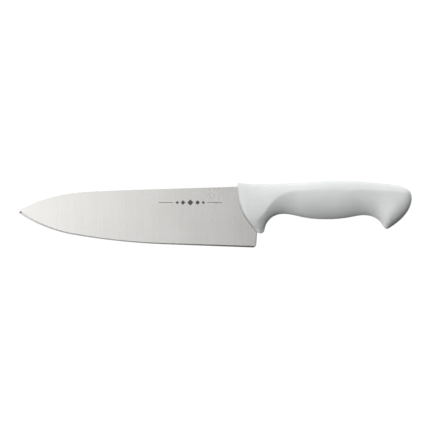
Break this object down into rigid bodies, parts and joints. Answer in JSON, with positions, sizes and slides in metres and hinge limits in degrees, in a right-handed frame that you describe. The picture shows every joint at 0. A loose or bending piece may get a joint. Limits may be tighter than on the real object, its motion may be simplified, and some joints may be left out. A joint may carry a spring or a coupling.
{
  "type": "chef knife",
  "caption": "Straight-spined chef's knife with a curved cutting edge and a white moulded grip that has a finger guard and a hooked butt.",
  "frame": {"origin": "on the mid-plane, where the spine of the blade meets the front of the handle", "axes": "-X towards the tip, +X towards the butt, +Z towards the spine, Y through the thickness; the cutting edge faces down"},
  "size_m": [0.3356, 0.0246, 0.0566],
  "materials": {
    "blade_steel": "satin ground stainless steel",
    "handle_plastic": "fine-grained white polypropylene"
  },
  "bodies": {
    "root": {"blade": "blade_steel", "handle": "handle_plastic"}
  },
  "joints": []
}
